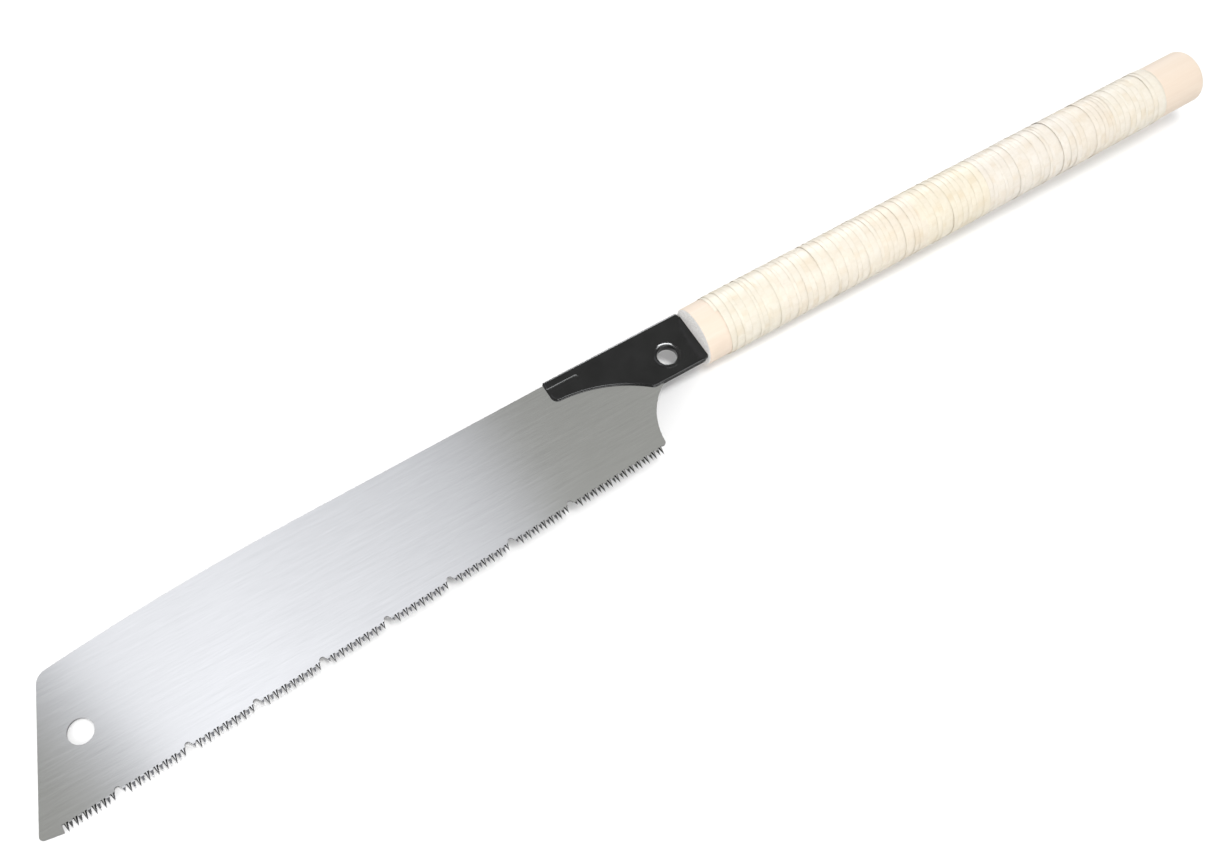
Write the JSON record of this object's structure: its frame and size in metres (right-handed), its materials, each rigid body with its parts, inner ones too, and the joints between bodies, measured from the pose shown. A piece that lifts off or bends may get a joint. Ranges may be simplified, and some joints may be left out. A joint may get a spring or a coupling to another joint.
{
  "type": "pull saw",
  "caption": "Single-edge pull saw: long thin crosscut blade with an angled tip, black folded bracket with a hollow hook rivet, and a long round wood handle wound with thin pale strips.",
  "frame": {"origin": "centre of the hollow hanging rivet, on the blade's mid-plane", "axes": "+X along the handle towards its butt, +Y towards the blade's back, +Z square to the blade"},
  "size_m": [0.5928, 0.07, 0.0278],
  "materials": {
    "blade_steel": "fine brushed, bare",
    "bracket_paint": "gloss black",
    "rivet_paint": "gloss black",
    "handle_wood": "bare, smooth",
    "wrap_strip_1": "bare split strip, satin",
    "wrap_strip_2": "bare split strip, satin",
    "wrap_strip_3": "bare split strip, satin",
    "wrap_strip_4": "bare split strip, satin",
    "wrap_strip_5": "bare split strip, satin",
    "wrap_strip_6": "bare split strip, satin",
    "wrap_strip_7": "bare split strip, satin"
  },
  "bodies": {
    "saw_handle": {"bracket": "bracket_paint", "hook_rivet": "rivet_paint", "handle_core": "handle_wood", "wrap_strip_1": "wrap_strip_1", "wrap_strip_2": "wrap_strip_2", "wrap_strip_3": "wrap_strip_3", "wrap_strip_4": "wrap_strip_4", "wrap_strip_5": "wrap_strip_5", "wrap_strip_6": "wrap_strip_6", "wrap_strip_7": "wrap_strip_7"},
    "saw_blade": {"blade": "blade_steel"}
  },
  "joints": [
    {"name": "blade_swing", "type": "hinge", "parent": "saw_handle", "child": "saw_blade", "pos_m": [0, 0, 0], "axis": [0, 0, 1], "range_deg": [0, 20]}
  ]
}
